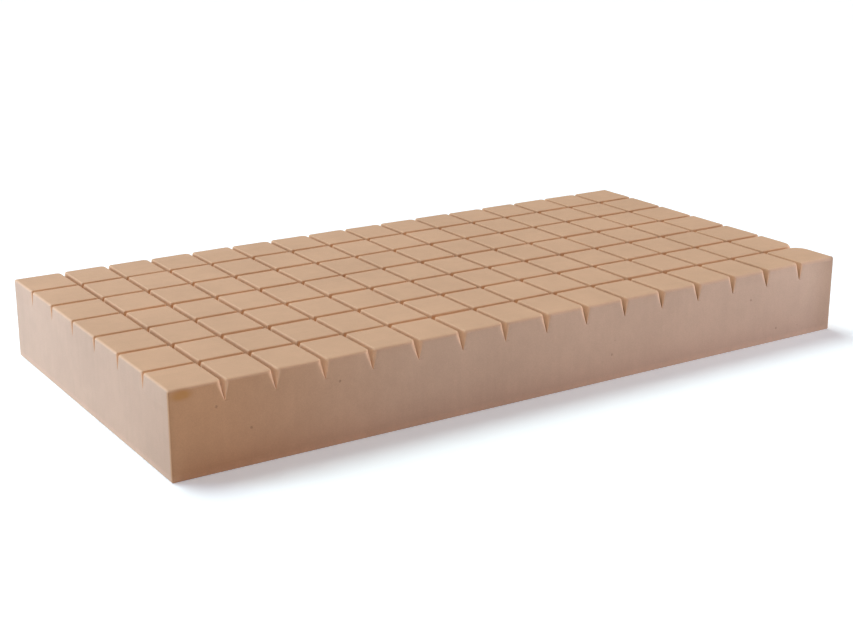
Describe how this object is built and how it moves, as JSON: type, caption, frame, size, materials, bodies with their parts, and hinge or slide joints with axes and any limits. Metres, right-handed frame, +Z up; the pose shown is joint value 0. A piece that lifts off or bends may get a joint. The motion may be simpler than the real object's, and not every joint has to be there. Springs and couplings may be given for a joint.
{
  "type": "memory foam mattress",
  "caption": "Bare rectangular memory foam mattress core, its top cut into a 16 by 7 grid of cells so that it bends, rolls and yields cell row by cell row.",
  "frame": {"origin": "centre of the underside, where the mattress rests", "axes": "+X along the length, +Y across the width, +Z up out of the cut sleeping side"},
  "size_m": [1.905, 0.965, 0.203],
  "materials": {
    "cell_foam": "dead matte open-cell polyurethane foam",
    "base_foam": "dead matte open-cell polyurethane foam, saw-cut"
  },
  "bodies": {
    "strip_01": {"base_strip_01": "base_foam"},
    "strip_02": {"base_strip_02": "base_foam", "bend_web_01": "base_foam"},
    "strip_03": {"base_strip_03": "base_foam", "bend_web_02": "base_foam"},
    "strip_04": {"base_strip_04": "base_foam", "bend_web_03": "base_foam"},
    "strip_05": {"base_strip_05": "base_foam", "bend_web_04": "base_foam"},
    "strip_06": {"base_strip_06": "base_foam", "bend_web_05": "base_foam"},
    "strip_07": {"base_strip_07": "base_foam", "bend_web_06": "base_foam"},
    "strip_08": {"base_strip_08": "base_foam", "bend_web_08": "base_foam", "bend_web_07": "base_foam"},
    "strip_09": {"base_strip_09": "base_foam", "bend_web_09": "base_foam"},
    "strip_10": {"base_strip_10": "base_foam", "bend_web_10": "base_foam"},
    "strip_11": {"base_strip_11": "base_foam", "bend_web_11": "base_foam"},
    "strip_12": {"base_strip_12": "base_foam", "bend_web_12": "base_foam"},
    "strip_13": {"base_strip_13": "base_foam", "bend_web_13": "base_foam"},
    "strip_14": {"base_strip_14": "base_foam", "bend_web_14": "base_foam"},
    "strip_15": {"base_strip_15": "base_foam", "bend_web_15": "base_foam"},
    "strip_16": {"base_strip_16": "base_foam"},
    "cells_01": {"cell_row_01": "cell_foam"},
    "cells_02": {"cell_row_02": "cell_foam"},
    "cells_03": {"cell_row_03": "cell_foam"},
    "cells_04": {"cell_row_04": "cell_foam"},
    "cells_05": {"cell_row_05": "cell_foam"},
    "cells_06": {"cell_row_06": "cell_foam"},
    "cells_07": {"cell_row_07": "cell_foam"},
    "cells_08": {"cell_row_08": "cell_foam"},
    "cells_09": {"cell_row_09": "cell_foam"},
    "cells_10": {"cell_row_10": "cell_foam"},
    "cells_11": {"cell_row_11": "cell_foam"},
    "cells_12": {"cell_row_12": "cell_foam"},
    "cells_13": {"cell_row_13": "cell_foam"},
    "cells_14": {"cell_row_14": "cell_foam"},
    "cells_15": {"cell_row_15": "cell_foam"},
    "cells_16": {"cell_row_16": "cell_foam"}
  },
  "joints": [
    {"name": "bend_01", "type": "hinge", "parent": "strip_02", "child": "strip_01", "pos_m": [-0.828, 0, 0.157], "axis": [0, 1, 0], "range_deg": [-8, 13.5], "stiffness_Nm_per_rad": 50, "deforming": ["bend_web_01"]},
    {"name": "bend_02", "type": "hinge", "parent": "strip_03", "child": "strip_02", "pos_m": [-0.70971, 0, 0.157], "axis": [0, 1, 0], "range_deg": [-8, 13.5], "stiffness_Nm_per_rad": 50, "deforming": ["bend_web_02"]},
    {"name": "bend_03", "type": "hinge", "parent": "strip_04", "child": "strip_03", "pos_m": [-0.59143, 0, 0.157], "axis": [0, 1, 0], "range_deg": [-8, 13.5], "stiffness_Nm_per_rad": 50, "deforming": ["bend_web_03"]},
    {"name": "bend_04", "type": "hinge", "parent": "strip_05", "child": "strip_04", "pos_m": [-0.47314, 0, 0.157], "axis": [0, 1, 0], "range_deg": [-8, 13.5], "stiffness_Nm_per_rad": 50, "deforming": ["bend_web_04"]},
    {"name": "bend_05", "type": "hinge", "parent": "strip_06", "child": "strip_05", "pos_m": [-0.35486, 0, 0.157], "axis": [0, 1, 0], "range_deg": [-8, 13.5], "stiffness_Nm_per_rad": 50, "deforming": ["bend_web_05"]},
    {"name": "bend_06", "type": "hinge", "parent": "strip_07", "child": "strip_06", "pos_m": [-0.23657, 0, 0.157], "axis": [0, 1, 0], "range_deg": [-8, 13.5], "stiffness_Nm_per_rad": 50, "deforming": ["bend_web_06"]},
    {"name": "bend_07", "type": "hinge", "parent": "strip_08", "child": "strip_07", "pos_m": [-0.11829, 0, 0.157], "axis": [0, 1, 0], "range_deg": [-8, 13.5], "stiffness_Nm_per_rad": 50, "deforming": ["bend_web_07"]},
    {"name": "bend_08", "type": "hinge", "parent": "strip_08", "child": "strip_09", "pos_m": [0, 0, 0.157], "axis": [0, -1, 0], "range_deg": [-8, 13.5], "stiffness_Nm_per_rad": 50, "deforming": ["bend_web_08"]},
    {"name": "bend_09", "type": "hinge", "parent": "strip_09", "child": "strip_10", "pos_m": [0.11829, 0, 0.157], "axis": [0, -1, 0], "range_deg": [-8, 13.5], "stiffness_Nm_per_rad": 50, "deforming": ["bend_web_09"]},
    {"name": "bend_10", "type": "hinge", "parent": "strip_10", "child": "strip_11", "pos_m": [0.23657, 0, 0.157], "axis": [0, -1, 0], "range_deg": [-8, 13.5], "stiffness_Nm_per_rad": 50, "deforming": ["bend_web_10"]},
    {"name": "bend_11", "type": "hinge", "parent": "strip_11", "child": "strip_12", "pos_m": [0.35486, 0, 0.157], "axis": [0, -1, 0], "range_deg": [-8, 13.5], "stiffness_Nm_per_rad": 50, "deforming": ["bend_web_11"]},
    {"name": "bend_12", "type": "hinge", "parent": "strip_12", "child": "strip_13", "pos_m": [0.47314, 0, 0.157], "axis": [0, -1, 0], "range_deg": [-8, 13.5], "stiffness_Nm_per_rad": 50, "deforming": ["bend_web_12"]},
    {"name": "bend_13", "type": "hinge", "parent": "strip_13", "child": "strip_14", "pos_m": [0.59143, 0, 0.157], "axis": [0, -1, 0], "range_deg": [-8, 13.5], "stiffness_Nm_per_rad": 50, "deforming": ["bend_web_13"]},
    {"name": "bend_14", "type": "hinge", "parent": "strip_14", "child": "strip_15", "pos_m": [0.70971, 0, 0.157], "axis": [0, -1, 0], "range_deg": [-8, 13.5], "stiffness_Nm_per_rad": 50, "deforming": ["bend_web_14"]},
    {"name": "bend_15", "type": "hinge", "parent": "strip_15", "child": "strip_16", "pos_m": [0.828, 0, 0.157], "axis": [0, -1, 0], "range_deg": [-8, 13.5], "stiffness_Nm_per_rad": 50, "deforming": ["bend_web_15"]},
    {"name": "press_01", "type": "slide", "parent": "strip_01", "child": "cells_01", "axis": [0, 0, -1], "range_m": [0, 0.016], "stiffness_N_per_m": 5000, "deforming": ["cell_row_01"]},
    {"name": "press_02", "type": "slide", "parent": "strip_02", "child": "cells_02", "axis": [0, 0, -1], "range_m": [0, 0.016], "stiffness_N_per_m": 5000, "deforming": ["cell_row_02"]},
    {"name": "press_03", "type": "slide", "parent": "strip_03", "child": "cells_03", "axis": [0, 0, -1], "range_m": [0, 0.016], "stiffness_N_per_m": 5000, "deforming": ["cell_row_03"]},
    {"name": "press_04", "type": "slide", "parent": "strip_04", "child": "cells_04", "axis": [0, 0, -1], "range_m": [0, 0.016], "stiffness_N_per_m": 5000, "deforming": ["cell_row_04"]},
    {"name": "press_05", "type": "slide", "parent": "strip_05", "child": "cells_05", "axis": [0, 0, -1], "range_m": [0, 0.016], "stiffness_N_per_m": 5000, "deforming": ["cell_row_05"]},
    {"name": "press_06", "type": "slide", "parent": "strip_06", "child": "cells_06", "axis": [0, 0, -1], "range_m": [0, 0.016], "stiffness_N_per_m": 5000, "deforming": ["cell_row_06"]},
    {"name": "press_07", "type": "slide", "parent": "strip_07", "child": "cells_07", "axis": [0, 0, -1], "range_m": [0, 0.016], "stiffness_N_per_m": 5000, "deforming": ["cell_row_07"]},
    {"name": "press_08", "type": "slide", "parent": "strip_08", "child": "cells_08", "axis": [0, 0, -1], "range_m": [0, 0.016], "stiffness_N_per_m": 5000, "deforming": ["cell_row_08"]},
    {"name": "press_09", "type": "slide", "parent": "strip_09", "child": "cells_09", "axis": [0, 0, -1], "range_m": [0, 0.016], "stiffness_N_per_m": 5000, "deforming": ["cell_row_09"]},
    {"name": "press_10", "type": "slide", "parent": "strip_10", "child": "cells_10", "axis": [0, 0, -1], "range_m": [0, 0.016], "stiffness_N_per_m": 5000, "deforming": ["cell_row_10"]},
    {"name": "press_11", "type": "slide", "parent": "strip_11", "child": "cells_11", "axis": [0, 0, -1], "range_m": [0, 0.016], "stiffness_N_per_m": 5000, "deforming": ["cell_row_11"]},
    {"name": "press_12", "type": "slide", "parent": "strip_12", "child": "cells_12", "axis": [0, 0, -1], "range_m": [0, 0.016], "stiffness_N_per_m": 5000, "deforming": ["cell_row_12"]},
    {"name": "press_13", "type": "slide", "parent": "strip_13", "child": "cells_13", "axis": [0, 0, -1], "range_m": [0, 0.016], "stiffness_N_per_m": 5000, "deforming": ["cell_row_13"]},
    {"name": "press_14", "type": "slide", "parent": "strip_14", "child": "cells_14", "axis": [0, 0, -1], "range_m": [0, 0.016], "stiffness_N_per_m": 5000, "deforming": ["cell_row_14"]},
    {"name": "press_15", "type": "slide", "parent": "strip_15", "child": "cells_15", "axis": [0, 0, -1], "range_m": [0, 0.016], "stiffness_N_per_m": 5000, "deforming": ["cell_row_15"]},
    {"name": "press_16", "type": "slide", "parent": "strip_16", "child": "cells_16", "axis": [0, 0, -1], "range_m": [0, 0.016], "stiffness_N_per_m": 5000, "deforming": ["cell_row_16"]}
  ]
}
